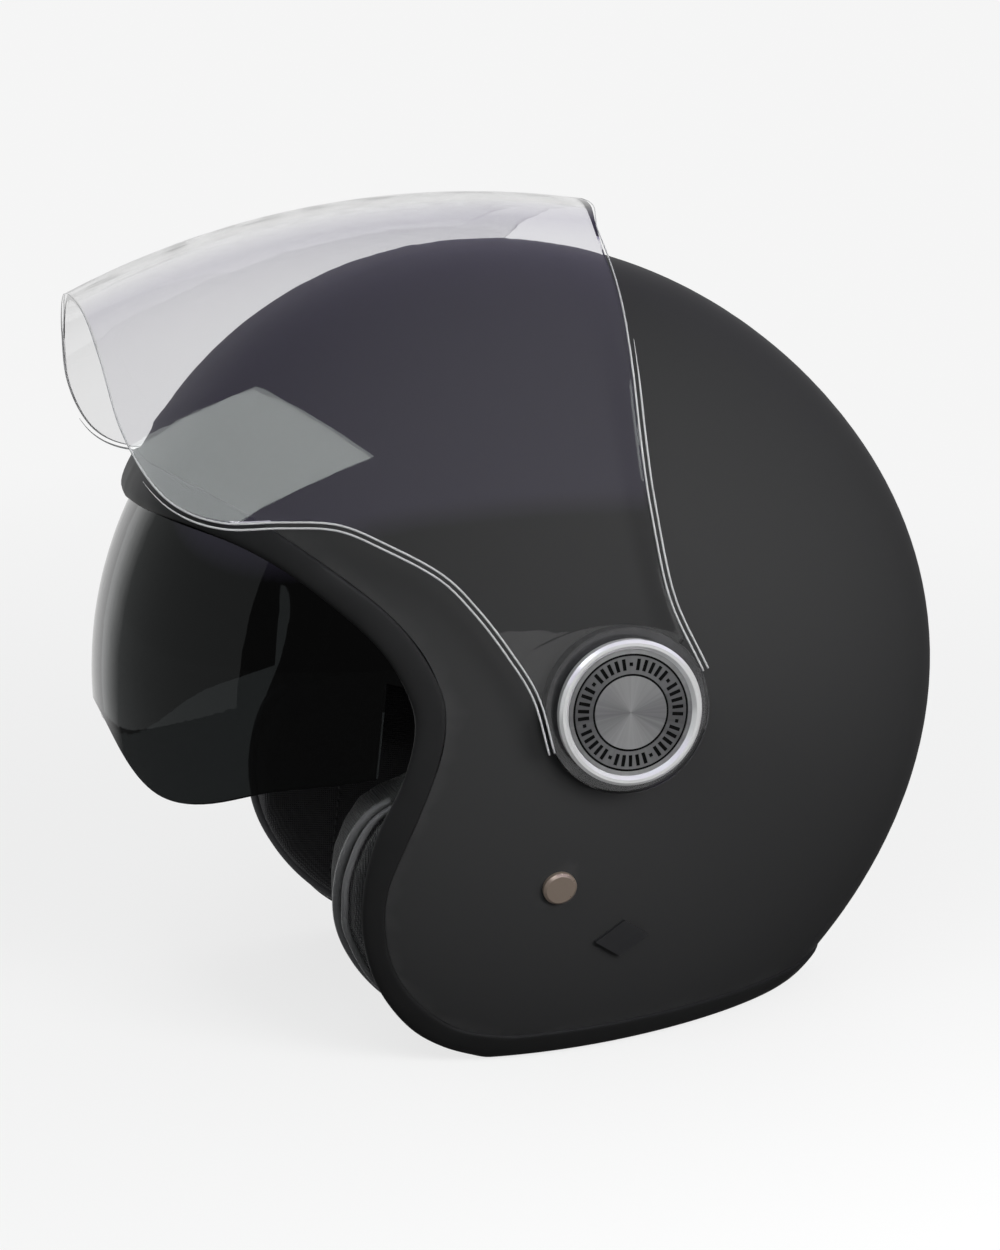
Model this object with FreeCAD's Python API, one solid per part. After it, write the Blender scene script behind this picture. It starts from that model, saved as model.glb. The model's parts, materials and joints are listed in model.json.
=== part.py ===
"""Open face motorcycle helmet with a lifting face shield and a drop-down sun lens.

Frame: millimetres, +Z up, the front of the helmet towards -Y, the wearer's left towards +X.
Everything is modelled about the shield's pivot axis, then moved so that the helmet
stands on z = 0 with the middle of its bounding box over the origin.
"""
import FreeCAD, Part
import math
import os

from FreeCAD import Vector

# ---- driving dimensions, mm -------------------------------------------------
PIVOT_Y = 5.9              # shield pivot axis, behind the middle of the bounding box
PIVOT_Z = 130.0            # shield pivot axis, above the surface the helmet stands on
HALF_WIDTH = 123.0         # shell, at the pivot axis
SHELL_THICKNESS = 3.4
TRIM_PROUD = 1.2           # edge trim, above the shell's surface
TRIM_HEIGHT = 10.0         # edge trim along the bottom rim
EPS_GAP = 0.4              # between the shell and the foam
EPS_DEPTH = 36.0           # inner face of the crown foam, below the shell's surface
CHEEK_EPS_DEPTH = 24.0
LINER_THICKNESS = 9.0
CHEEK_DEPTH = 50.0         # face of the cheek pads
NECK_HALF_WIDTH = 66.0     # neck opening between the cheek pads
NECK_REAR = 103.0          # its rear end, from the pivot axis
CHEEK_FOAM_HALF_WIDTH = 86.0
FIT_GAP = 0.4              # between soft parts and their neighbours

SHIELD_HALF_WIDTH = 131.5  # outer face of the shield, at the pivot axis
SHIELD_THICKNESS = 2.8
SHIELD_ARC_RADIUS = 315.0  # centre profile of the raised shield
SHIELD_ARC_Y = -20.0       # centre of that arc, from the pivot axis
SHIELD_ARC_Z = -152.0
SHIELD_SQUARENESS = 2.3
SHIELD_EYE_RADIUS = 27.5
SHIELD_EYE_INSIDE = 127.6  # inner face of the eye, from the centre plane
SHELL_FLAT = 122.05        # flat under each pivot, from the centre plane

LENS_Y = -14.0             # sun lens pivot axis, from the shield's
LENS_Z = -8.5
LENS_RADIUS = 144.0
LENS_HALF_WIDTH = 110.0
LENS_THICKNESS = 2.2
LENS_SQUARENESS = 2.2
LENS_EYE_RADIUS = 9.0
LENS_PIN_RADIUS = 2.5
LENS_CLEARANCE = 1.5       # to the foam behind the lens
LENS_SIDE_GAP = 0.6        # to the edge trim in front of it

# Pivot parts, stacked along X outwards from the centre plane.
PIVOT_NUT_X = 112.2
PIVOT_NUT_LENGTH = 3.6
PIVOT_NUT_FLATS = 10.0
LENS_PLATE_X = 112.0
LENS_PLATE_THICKNESS = 4.0
PIVOT_BASE_RADIUS = 27.0
PIVOT_BASE_FACE_X = 127.1
SPIGOT_RADIUS = 8.0        # the shield's eye turns on it
SPIGOT_END_X = 131.0
SCREW_RADIUS = 2.5
SCREW_HEAD_RADIUS = 6.0
SCREW_SEAT_X = 129.1
SCREW_END_X = 130.9
SHIELD_EYE_FACE_X = 130.6
SHIELD_EYE_BORE = 8.4
CAP_BACK_X = 130.95
CAP_SEAT_X = 131.6
CAP_FACE_X = 134.6
CAP_RADIUS = 24.0          # bright ring over each pivot
CAP_BEVEL = 1.0
CAP_MOUTH_RADIUS = 18.5
CAP_DISC_RADIUS = 20.8
DISC_FACE_X = 133.4
ENGRAVED_DEPTH = 0.3
ENGRAVED_RINGS = (19.0, 12.4)
TICK_GROUPS = 7
TICKS_PER_GROUP = 5        # then a dot before the next group
TICK_RADIUS = 15.9
TICK_WIDTH = 1.2
TICK_LENGTH = 3.8

RIVET_Y = -19.0
RIVET_Z = -61.3
RIVET_HEAD_RADIUS = 5.75
RIVET_SHANK_RADIUS = 2.4
RIVET_HOLE_RADIUS = 2.6
RIVET_HEAD_HEIGHT = 1.4
WASHER_RADIUS = 7.0
STRAP_Y = RIVET_Y
STRAP_WIDTH = 22.0
STRAP_THICKNESS = 1.8
STRAP_DEPTH = 5.8          # middle of the strap, below the shell's surface
STRAP_ROOM_DEPTH = 10.0
STRAP_LOW = -PIVOT_Z + 1.2 # underside of the strap where it crosses the neck opening
STRAP_LEVEL = STRAP_LOW + STRAP_THICKNESS / 2
STRAP_DROP = (-52, -61.3, -75, -90, -105, -116, -122)   # heights down the inside of the shell
STRAP_LEFT_END_X = 2.0
STRAP_RIGHT_END_X = -56.0
SLEEVE_LENGTH = 52.0
SLEEVE_X = 16.0
SLEEVE_THICKNESS = 6.4
SLEEVE_MARGIN = 5.0        # sleeve beyond each edge of the strap
SLEEVE_ROUNDING = 1.6

BUCKLE_X = -58.0
BUCKLE_LENGTH = 34.0
BUCKLE_WIDTH = 26.0
BUCKLE_HEIGHT = 9.0
BUCKLE_PIN_X = BUCKLE_X + 6.0
BUCKLE_PIN_Z = STRAP_LOW + 6.2
BUCKLE_PIN_RADIUS = 1.45
LEVER_WIDTH = 16.0
LEVER_LENGTH = 21.0
LEVER_BARREL_RADIUS = 2.7
TONGUE_LENGTH = 50.0
TONGUE_WIDTH = 16.0
TOOTH_COUNT = 8
TOOTH_PITCH = 2.6
TOOTH_HEIGHT = 0.9

BADGE_Y = 5.8
BADGE_Z = -83.5
BADGE_HALF_LENGTH = 10.0
BADGE_HALF_HEIGHT = 7.0
BADGE_PROUD = 1.8

# Side outlines as (y, z) from the pivot axis, from the base up to the brow.
SHELL_EDGE = [
    (-29, -120), (-47, -115.5), (-60, -106), (-70, -93), (-75, -77), (-75, -61), (-69, -43),
    (-61.5, -23), (-57.5, -4), (-60, 10), (-72, 29), (-90, 44.5), (-112, 59.5), (-134, 70),
    (-152, 74.5), (-180, 77),
]
TRIM_EDGE = [
    (-37, -130), (-52, -124), (-65, -114.5), (-76.5, -98), (-82.5, -79), (-83, -60), (-79, -41),
    (-71.5, -24), (-67.5, -7), (-69.5, 5), (-78, 20), (-92, 33.5), (-108, 45.5), (-125, 53.5),
    (-143, 57.5), (-180, 60),
]
PAD_EDGE = [
    (-30, -121), (-50, -118), (-66, -109), (-80, -93), (-87.5, -76), (-88, -62), (-84, -47),
    (-76, -36), (-60, -32),
]
LENS_LOWER_EDGE = [
    (-162, -8), (-156, -19), (-150, -31), (-142, -38.5), (-130, -38.5), (-112, -32), (-92, -28),
    (-76.5, -25),
]
SHIELD_CHIN_EDGE = [
    (-170, 139), (-162.8, 128.7), (-159.5, 112), (-156, 92), (-149, 76.5), (-140, 67.5),
    (-127, 63.2), (-109, 63.4), (-92, 62.4), (-77, 56), (-60, 46.3), (-49, 35), (-39, 21.5),
    (-30, 6.5), (-24.6, -12.3),
]
SHIELD_REAR_EDGE = [
    (24, 172), (18, 160.7), (12.5, 155), (9.8, 149), (9, 130), (7.8, 108), (7.2, 86), (8.6, 64),
    (13.6, 36), (24.8, 11.9),
]

FAR = 260.0                # beyond the object on every side
RING_STEP = 10             # degrees between the points of one ring of the shell
RING_STATIONS = (0.0, 0.16, 0.32, 0.47, 0.6, 0.71, 0.8, 0.87, 0.925, 0.965, 0.992)


# ---- the helmet's outer form ------------------------------------------------
def crown_radius(angle):
    """Radius of the centre profile; the angle runs from the front over the crown, in degrees."""
    a = math.radians(angle)
    first = 6.8 * math.cos(a) - 16.8 * math.sin(a)
    second = -3.8 * math.cos(2 * a) + 1.4 * math.sin(2 * a)
    return 158.8 + first + second - 1.5 * math.cos(3 * a)


def squareness(angle):
    """Exponent of the cross-section: full over the head, more pointed at the nape."""
    nape = max(0.0, math.cos(math.radians(angle - 235)))
    return 2.4 - 0.75 * nape ** 2


def form_ring(fraction, inset):
    """One closed ring of the form, in the plane x = fraction of its half width."""
    half = HALF_WIDTH - inset
    points = []
    for angle in range(0, 360, RING_STEP):
        power = squareness(angle)
        radius = (crown_radius(angle) - inset) * (1 - abs(fraction) ** power) ** (1 / power)
        a = math.radians(angle)
        points.append(Vector(fraction * half, -radius * math.cos(a), radius * math.sin(a)))
    curve = Part.BSplineCurve()
    count = len(points)
    parameters = [i / count for i in range(count + 1)]
    curve.interpolate(Points=points, PeriodicFlag=True, Parameters=parameters)
    return Part.Wire(curve.toShape())


def form(inset):
    """The helmet's form as a solid, moved inwards by inset."""
    stations = [-f for f in reversed(RING_STATIONS[1:])] + list(RING_STATIONS)
    rings = [form_ring(fraction, inset) for fraction in stations]
    return Part.makeLoft(rings, True, False)


def form_x(y, z, inset=0.0):
    """Half width of the form at a point of the side view."""
    angle = math.degrees(math.atan2(z, -y)) % 360
    power = squareness(angle)
    ratio = math.hypot(y, z) / (crown_radius(angle) - inset)
    return (HALF_WIDTH - inset) * (1 - ratio ** power) ** (1 / power)


def form_normal(y, z, side):
    """Outward unit normal of the form on one side, side being 1 for left and -1 for right."""
    step = 0.5
    slope_y = (form_x(y + step, z) - form_x(y - step, z)) / (2 * step)
    slope_z = (form_x(y, z + step) - form_x(y, z - step)) / (2 * step)
    normal = Vector(side, -slope_y, -slope_z)
    return normal.normalize()


# ---- small helpers ----------------------------------------------------------
def extrude_x(wire, start=-FAR, end=FAR):
    """Extrude a wire that lies in the plane x = 0."""
    face = Part.Face(wire)
    face.translate(Vector(start, 0, 0))
    return face.extrude(Vector(end - start, 0, 0))


def edge_curve(points):
    curve = Part.BSplineCurve()
    curve.interpolate([Vector(0, y, z) for y, z in points])
    return curve.toShape()


def front_of(edge):
    """Everything in front of a side outline that runs from the base to the brow."""
    spline = edge_curve(edge)
    start, end = Vector(0, *edge[0]), Vector(0, *edge[-1])
    corners = [end, Vector(0, -FAR, edge[-1][1]), Vector(0, -FAR, edge[0][1]), start]
    return extrude_x(Part.Wire([spline] + Part.makePolygon(corners).Edges))


def slab_z(bottom, top, front=-FAR, back=FAR):
    return Part.makeBox(2 * FAR, back - front, top - bottom, Vector(-FAR, front, bottom))


def rod_x(radius, start, end, y=0.0, z=0.0):
    return Part.makeCylinder(radius, end - start, Vector(start, y, z), Vector(1, 0, 0))


def tube_x(outer, inner, start, end, y=0.0, z=0.0):
    return rod_x(outer, start, end, y, z).cut(rod_x(inner, start - 1, end + 1, y, z))


def on_side(shape, side):
    """A left-hand shape as it is, or mirrored to the right."""
    return shape if side > 0 else shape.mirror(Vector(0, 0, 0), Vector(1, 0, 0))


def largest(shape):
    return max(shape.Solids, key=lambda solid: solid.Volume)


def side_half(side):
    return Part.makeBox(FAR, 2 * FAR, 2 * FAR, Vector(0 if side > 0 else -FAR, -FAR, -FAR))


def superellipse(half_width, radius, power, count=12):
    """Points (x, r) from the positive end over the middle to the negative end."""
    points = []
    for i in range(-count, count + 1):
        t = -i / count * math.pi / 2
        x = half_width * math.copysign(abs(math.sin(t)) ** (2 / power), t)
        points.append((x, radius * abs(math.cos(t)) ** (2 / power)))
    return points


def lemon(half_width, radius, smallest):
    """Solid of revolution about the sun lens axis, open at its poles to the smallest radius."""
    profile = [(x, r) for x, r in superellipse(half_width, radius, LENS_SQUARENESS) if r > 2 * smallest]
    ratio = (1 - (smallest / radius) ** LENS_SQUARENESS) ** (1 / LENS_SQUARENESS)
    profile = [(half_width * ratio, smallest)] + profile + [(-half_width * ratio, smallest)]
    curve = Part.BSplineCurve()
    curve.interpolate([Vector(x, LENS_Y, LENS_Z + r) for x, r in profile])
    ends = [Vector(x, LENS_Y, LENS_Z + r) for x, r in (profile[-1], profile[0])]
    axis = [Vector(v.x, LENS_Y, LENS_Z) for v in ends]
    closing = Part.makePolygon([ends[0], axis[0], axis[1], ends[1]])
    face = Part.Face(Part.Wire([curve.toShape()] + closing.Edges))
    return face.revolve(Vector(0, LENS_Y, LENS_Z), Vector(1, 0, 0), 360)


# ---- shell, trim and linings ------------------------------------------------
def rivet_axis(side):
    """Where a strap rivet meets the shell's surface, and its direction outwards."""
    centre = Vector(side * form_x(RIVET_Y, RIVET_Z), RIVET_Y, RIVET_Z)
    return centre, form_normal(RIVET_Y, RIVET_Z, side)


def rivet_hole(side, radius):
    centre, normal = rivet_axis(side)
    return Part.makeCylinder(radius, 40, centre - normal * 20, normal)


def make_shell(solids, openings):
    shell = solids["outer"].cut(solids["shell_inside"])
    shell = shell.cut(openings["shell"]).cut(slab_z(-FAR, TRIM_HEIGHT - PIVOT_Z))
    for side in (1, -1):
        shell = shell.cut(rivet_hole(side, RIVET_HOLE_RADIUS))
        shell = shell.cut(on_side(rod_x(4.2, 100, 140), side))
    return shell


def make_trim(solids, openings):
    swept = lemon(LENS_HALF_WIDTH + LENS_SIDE_GAP, LENS_RADIUS + LENS_SIDE_GAP, LENS_PIN_RADIUS)
    body = solids["proud"].cut(solids["shell_inside"]).cut(swept)
    body = body.cut(openings["trim"]).cut(slab_z(-FAR, -PIVOT_Z))
    return body.cut(slab_z(TRIM_HEIGHT - PIVOT_Z, FAR).cut(openings["shell"]))


def lens_room(lens_inside):
    """The space in front of the foam that the sun lens slides up through."""
    axis = Vector(0, LENS_Y, LENS_Z)
    low, high = math.radians(-50), math.radians(104)
    rays = [axis + Vector(0, -math.cos(a), math.sin(a)) * FAR for a in (low, (low + high) / 2, high)]
    arc = Part.Arc(*rays).toShape()
    wedge = extrude_x(Part.Wire([Part.makeLine(axis, rays[0]), arc, Part.makeLine(rays[2], axis)]))
    room = wedge.cut(lens_inside)
    for side in (1, -1):
        room = room.fuse(on_side(rod_x(30, 100, 125), side))
    return room


def make_crown_foam(solids, openings, room):
    foam = solids["foam_outside"].cut(solids["crown_inside"])
    foam = foam.cut(neck_room(NECK_HALF_WIDTH + LINER_THICKNESS, NECK_REAR + LINER_THICKNESS))
    foam = foam.cut(openings["foam"]).cut(slab_z(-FAR, -99))
    foam = foam.cut(slab_z(-FAR, -18, back=30)).cut(room)
    return largest(foam)


def neck_room(half_width, rear):
    """Upright space that is straight at the cheeks and round at the nape."""
    nape = Part.Ellipse(Vector(0, rear, 0), Vector(half_width, 0, 0), Vector(0, 0, 0))
    arc = Part.ArcOfEllipse(nape, -math.pi / 2, math.pi / 2).toShape()
    front = [Vector(-half_width, 0, 0), Vector(-half_width, -FAR, 0), Vector(half_width, -FAR, 0),
             Vector(half_width, 0, 0)]
    face = Part.Face(Part.Wire(Part.__sortEdges__([arc] + Part.makePolygon(front).Edges)))
    face.translate(Vector(0, 0, -FAR))
    return face.extrude(Vector(0, 0, FAR - 20))


def strap_channel():
    """Room for the straps, just inside the shell."""
    band = Part.makeBox(2 * FAR, STRAP_WIDTH + 6, FAR, Vector(-FAR, STRAP_Y - STRAP_WIDTH / 2 - 3, -FAR - 47))
    return band.cut(form(STRAP_ROOM_DEPTH))


def make_cheek_foam(solids, openings, side):
    foam = solids["foam_outside"].cut(solids["cheek_core"]).common(side_half(side))
    foam = foam.common(slab_z(-112, -24, back=24)).cut(openings["foam"])
    foam = foam.cut(on_side(rod_x(33, 96, 125), side))
    return largest(foam.cut(solids["strap_channel"]))


def make_cheek_pad(solids, openings, side):
    pad = solids["foam_outside"].cut(solids["cheek_inside"]).common(side_half(side))
    pad = pad.common(slab_z(-121, -28, back=24)).cut(openings["pad"])
    pad = pad.cut(on_side(rod_x(33, 96, 125), side)).cut(solids["neck"])
    return largest(pad.cut(solids["cheek_foam_room"]).cut(solids["strap_channel"]))


def make_rim_lining(solids, openings, side):
    """Covered skirt that closes the underside between the edge trim and the cheek pad."""
    lining = solids["foam_outside"].common(side_half(side)).common(slab_z(-127, -122, back=24))
    lining = lining.cut(neck_room(NECK_HALF_WIDTH + 4, NECK_REAR)).cut(openings["lining"])
    return largest(lining.cut(solids["strap_channel"]))


def make_liner(solids, openings):
    outside = LINER_THICKNESS - FIT_GAP
    core = solids["liner_outside"].fuse(neck_room(NECK_HALF_WIDTH + outside, NECK_REAR + outside))
    liner = core.cut(solids["liner_inside"]).cut(solids["neck"])
    liner = liner.cut(openings["liner"]).cut(slab_z(-FAR, -70))
    return largest(liner.cut(slab_z(-FAR, -18, back=30)))


def make_brow_pad(solids, openings, room):
    pad = solids["brow_outside"].cut(solids["liner_inside"])
    pad = pad.cut(openings["brow"]).common(openings["foam_front"])
    return largest(pad.cut(slab_z(-FAR, 22)).cut(room))


def make_neck_roll(solids):
    roll = solids["foam_outside"].cut(solids["neck"])
    return largest(roll.common(slab_z(-127, -99.5, front=24.5)))


# ---- face shield and its pivots ---------------------------------------------
def shield_blank(inset):
    """The shield's form as a solid: an arc over the helmet, falling away to both sides."""
    half = SHIELD_HALF_WIDTH - inset
    rings = []
    for fraction in [-f for f in reversed(RING_STATIONS[1:])] + list(RING_STATIONS):
        fullness = (1 - abs(fraction) ** SHIELD_SQUARENESS) ** (1 / SHIELD_SQUARENESS)
        points = []
        for angle in range(-10, 131, 10):
            a = math.radians(angle)
            forward, up = -math.cos(a), math.sin(a)
            along = SHIELD_ARC_Y * forward + SHIELD_ARC_Z * up
            reach = SHIELD_ARC_Y ** 2 + SHIELD_ARC_Z ** 2 - SHIELD_ARC_RADIUS ** 2
            radius = (along + math.sqrt(along ** 2 - reach) - inset) * fullness
            points.append(Vector(fraction * half, radius * forward, radius * up))
        curve = Part.BSplineCurve()
        curve.interpolate(Points=points, Parameters=[i / 14 for i in range(15)])
        centre = Vector(fraction * half, 0, 0)
        sides = Part.makePolygon([points[-1], centre, points[0]]).Edges
        rings.append(Part.Wire([curve.toShape()] + sides))
    return Part.makeLoft(rings, True, False)


def shield_outline():
    """Side outline of the raised shield, round its eyes at the pivots."""
    chin = edge_curve(SHIELD_CHIN_EDGE)
    rear = edge_curve(SHIELD_REAR_EDGE)
    first, last = Vector(0, *SHIELD_CHIN_EDGE[-1]), Vector(0, *SHIELD_REAR_EDGE[-1])
    under = Part.Arc(first, Vector(0, 12.3, -24.6), last).toShape()
    top = Part.makePolygon([Vector(0, *SHIELD_REAR_EDGE[0]), Vector(0, -60, 240),
                            Vector(0, *SHIELD_CHIN_EDGE[0])])
    edges = [chin, under, rear] + top.Edges
    return Part.Wire(Part.__sortEdges__(edges))


def make_shield():
    sheet = shield_blank(0).cut(shield_blank(SHIELD_THICKNESS))
    shield = sheet.common(extrude_x(shield_outline()))
    for side in (1, -1):
        shield = shield.fuse(on_side(rod_x(SHIELD_EYE_RADIUS, SHIELD_EYE_INSIDE, SHIELD_EYE_FACE_X), side))
    for side in (1, -1):
        shield = shield.cut(on_side(rod_x(SHIELD_EYE_BORE, 100, 140), side))
        shield = shield.cut(on_side(rod_x(SHIELD_EYE_RADIUS, 100, SHIELD_EYE_INSIDE), side))
    return largest(shield.fuse(make_shield_lip()).removeSplitter())


def make_shield_lip():
    """Finger lip at the middle of the chin edge."""
    lip = Part.makeBox(34, 6.5, 2.0, Vector(-17, -6.0, -2.0))
    lip = lip.makeFillet(0.9, lip.Edges)
    lip.rotate(Vector(0, 0, 0), Vector(1, 0, 0), -38)
    y, z = SHIELD_CHIN_EDGE[1]
    lip.translate(Vector(0, y + 1.0, z + 2.0))
    return lip


def make_pivot_base(side):
    """Turntable for the shield's eye, with a spigot through the shell and one through the eye."""
    base = rod_x(PIVOT_BASE_RADIUS, SHELL_FLAT, PIVOT_BASE_FACE_X)
    base = base.fuse(rod_x(SPIGOT_RADIUS, PIVOT_BASE_FACE_X, SPIGOT_END_X))
    base = base.fuse(rod_x(4, 117.0, SHELL_FLAT))
    base = base.cut(rod_x(SCREW_RADIUS + 0.2, 110, 140))
    return on_side(base.cut(rod_x(SCREW_HEAD_RADIUS + 0.2, SCREW_SEAT_X - 0.1, 140)), side)


def make_cap_ring(side):
    """Bright ring with a bevelled front and a seat for the disc."""
    profile = [
        (CAP_MOUTH_RADIUS, CAP_BACK_X), (CAP_RADIUS, CAP_BACK_X),
        (CAP_RADIUS, CAP_FACE_X - CAP_BEVEL), (CAP_RADIUS - CAP_BEVEL, CAP_FACE_X),
        (CAP_DISC_RADIUS + 1.2, CAP_FACE_X), (CAP_DISC_RADIUS, DISC_FACE_X - 0.2),
        (CAP_DISC_RADIUS, CAP_SEAT_X), (CAP_MOUTH_RADIUS, CAP_SEAT_X),
    ]
    return on_side(turned(profile), side)


def turned(profile):
    """A part turned about the pivot axis, from its (radius, x) profile."""
    corners = [Vector(x, 0, r) for r, x in profile]
    face = Part.Face(Part.makePolygon(corners + corners[:1]))
    return face.revolve(Vector(0, 0, 0), Vector(1, 0, 0), 360)


def make_cap_disc(side):
    """Disc with engraved rings, and a band of marks between them."""
    back = CAP_SEAT_X + 0.05
    floor = DISC_FACE_X - ENGRAVED_DEPTH
    disc = rod_x(CAP_DISC_RADIUS - 0.1, back, DISC_FACE_X).fuse(rod_x(8, SPIGOT_END_X, back))
    disc = disc.removeSplitter()
    for radius in ENGRAVED_RINGS:
        disc = disc.cut(tube_x(radius + 0.35, radius - 0.35, floor, CAP_FACE_X))
    marks = TICK_GROUPS * (TICKS_PER_GROUP + 1)
    for i in range(marks):
        length = TICK_LENGTH if i % (TICKS_PER_GROUP + 1) else TICK_WIDTH
        corner = Vector(floor, -TICK_WIDTH / 2, TICK_RADIUS - length / 2)
        tick = Part.makeBox(1.0, TICK_WIDTH, length, corner)
        tick.rotate(Vector(0, 0, 0), Vector(1, 0, 0), i * 360 / marks)
        disc = disc.cut(tick)
    return on_side(disc, side)


def make_pivot_screw(side):
    screw = rod_x(SCREW_RADIUS, 110.5, SCREW_SEAT_X)
    screw = screw.fuse(rod_x(SCREW_HEAD_RADIUS, SCREW_SEAT_X, SCREW_END_X))
    slot = Part.makeBox(2, 20, 1.2, Vector(SCREW_END_X - 0.8, -10, -0.6))
    return on_side(screw.cut(slot), side)


def make_pivot_nut(side):
    nut = hexagon(PIVOT_NUT_FLATS, PIVOT_NUT_X, PIVOT_NUT_X + PIVOT_NUT_LENGTH)
    return on_side(nut.cut(rod_x(SCREW_RADIUS + 0.05, 100, 140)), side)


def hexagon(across_flats, start, end):
    radius = across_flats / math.sqrt(3)
    corners = []
    for i in range(7):
        a = math.radians(60 * i)
        corners.append(Vector(0, radius * math.cos(a), radius * math.sin(a)))
    return extrude_x(Part.makePolygon(corners), start, end)


# ---- sun lens and its mechanism ---------------------------------------------
def lens_outline():
    lower = edge_curve(LENS_LOWER_EDGE)
    eye = Vector(0, LENS_Y, LENS_Z)
    under = eye + Vector(0, -2.0, -LENS_EYE_RADIUS * 0.975)
    behind = eye + Vector(0, LENS_EYE_RADIUS, 0)
    over = eye + Vector(0, -5.8, LENS_EYE_RADIUS * 0.765)
    first, last = Vector(0, *LENS_LOWER_EDGE[0]), Vector(0, *LENS_LOWER_EDGE[-1])
    arm = Part.makePolygon([last, Vector(0, -73.5, 7), Vector(0, -56, 3), under])
    round_eye = Part.Arc(under, behind, over).toShape()
    top = Part.makePolygon([over, Vector(0, -150, 106), Vector(0, -200, 60), first])
    return Part.Wire([lower] + arm.Edges + [round_eye] + top.Edges)


def make_lens():
    outer = lemon(LENS_HALF_WIDTH, LENS_RADIUS, LENS_PIN_RADIUS)
    inner = lemon(LENS_HALF_WIDTH - LENS_THICKNESS, LENS_RADIUS - LENS_THICKNESS, LENS_PIN_RADIUS)
    lens = outer.cut(inner).common(extrude_x(lens_outline()))
    return largest(lens.cut(rod_x(LENS_PIN_RADIUS + 0.15, -FAR, FAR, LENS_Y, LENS_Z)))


def make_lens_plate(side):
    """Plate inside the shell that carries the screw's nut and the sun lens pin."""
    face = LENS_PLATE_X + LENS_PLATE_THICKNESS
    plate = rod_x(17, LENS_PLATE_X, face).fuse(rod_x(10, LENS_PLATE_X, face, LENS_Y, LENS_Z))
    plate = plate.fuse(rod_x(10, face, 118.2))
    plate = plate.cut(rod_x(4.1, 116.9, 120)).cut(rod_x(3.0, 100, 140))
    plate = plate.cut(hexagon(PIVOT_NUT_FLATS + 0.1, LENS_PLATE_X, face - 0.1))
    plate = plate.cut(rod_x(LENS_PIN_RADIUS, 100, 140, LENS_Y, LENS_Z))
    return on_side(plate.removeSplitter(), side)


def make_lens_pin(side):
    pin = rod_x(LENS_PIN_RADIUS - 0.02, 105.0, 115.5, LENS_Y, LENS_Z)
    return on_side(pin.fuse(rod_x(4.5, 103.6, 105.4, LENS_Y, LENS_Z)).removeSplitter(), side)


# ---- strap, buckle and small fittings ---------------------------------------
def ribbon(points, thickness, width, y):
    """A flat strap of even thickness, from its centre line (x, z)."""
    sides = ([], [])
    for i, (x, z) in enumerate(points):
        before = points[max(i - 1, 0)]
        after = points[min(i + 1, len(points) - 1)]
        along = Vector(after[0] - before[0], 0, after[1] - before[1]).normalize()
        offset = Vector(-along.z, 0, along.x) * (thickness / 2)
        sides[0].append(Vector(x, 0, z) + offset)
        sides[1].append(Vector(x, 0, z) - offset)
    outline = sides[0] + sides[1][::-1]
    face = Part.Face(Part.makePolygon(outline + outline[:1]))
    face.translate(Vector(0, y - width / 2, 0))
    return face.extrude(Vector(0, width, 0))


def strap_drop(side):
    """Centre line from above the rivet down the inside of the shell, then level under the head."""
    line = [(side * form_x(STRAP_Y, z, STRAP_DEPTH), z) for z in STRAP_DROP]
    x = abs(line[-1][0])
    return line + [(side * (x - 3.2), STRAP_LEVEL + 2.4), (side * (x - 8), STRAP_LEVEL)]


def make_strap(side, end_x):
    line = strap_drop(side) + [(end_x, STRAP_LEVEL)]
    strap = ribbon(line, STRAP_THICKNESS, STRAP_WIDTH, STRAP_Y)
    return largest(strap.cut(rivet_hole(side, RIVET_HOLE_RADIUS)))


def across_strap(x, z, length, width, height):
    """A box centred across the strap, from its lower corner (x, z)."""
    return Part.makeBox(length, width, height, Vector(x, STRAP_Y - width / 2, z))


def pin_across(radius, length):
    """A rod centred across the strap, on the buckle's pin axis."""
    return Part.makeCylinder(radius, length, Vector(BUCKLE_PIN_X, STRAP_Y - length / 2, BUCKLE_PIN_Z),
                             Vector(0, 1, 0))


def make_strap_sleeve():
    """Padded sleeve round the strap, under the chin."""
    width = STRAP_WIDTH + 2 * SLEEVE_MARGIN
    sleeve = across_strap(SLEEVE_X, STRAP_LOW - 0.9, SLEEVE_LENGTH, width, SLEEVE_THICKNESS)
    sleeve = sleeve.makeFillet(SLEEVE_ROUNDING, sleeve.Edges)
    room = across_strap(SLEEVE_X - 4, STRAP_LOW - FIT_GAP, SLEEVE_LENGTH + 8, STRAP_WIDTH + 2 * FIT_GAP,
                        STRAP_THICKNESS + 2 * FIT_GAP)
    return sleeve.cut(room)


def make_buckle_body():
    body = across_strap(BUCKLE_X, STRAP_LOW - 0.6, BUCKLE_LENGTH, BUCKLE_WIDTH, BUCKLE_HEIGHT)
    body = body.makeFillet(1.0, body.Edges)
    channel = across_strap(BUCKLE_X + 4, STRAP_LOW + 0.2, 50, TONGUE_WIDTH + 2, 3.6)
    well = across_strap(BUCKLE_X + 2, STRAP_LOW + 3.0, LEVER_LENGTH + 4.5, LEVER_WIDTH + 1, 9.0)
    anchor = across_strap(BUCKLE_X - 2, STRAP_LOW - 0.1, 4.2, STRAP_WIDTH + 0.4, STRAP_THICKNESS + 0.2)
    return body.cut(channel).cut(well).cut(pin_across(BUCKLE_PIN_RADIUS + 0.05, 60)).cut(anchor)


def make_buckle_pin():
    return pin_across(BUCKLE_PIN_RADIUS, BUCKLE_WIDTH - 1.0)


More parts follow.
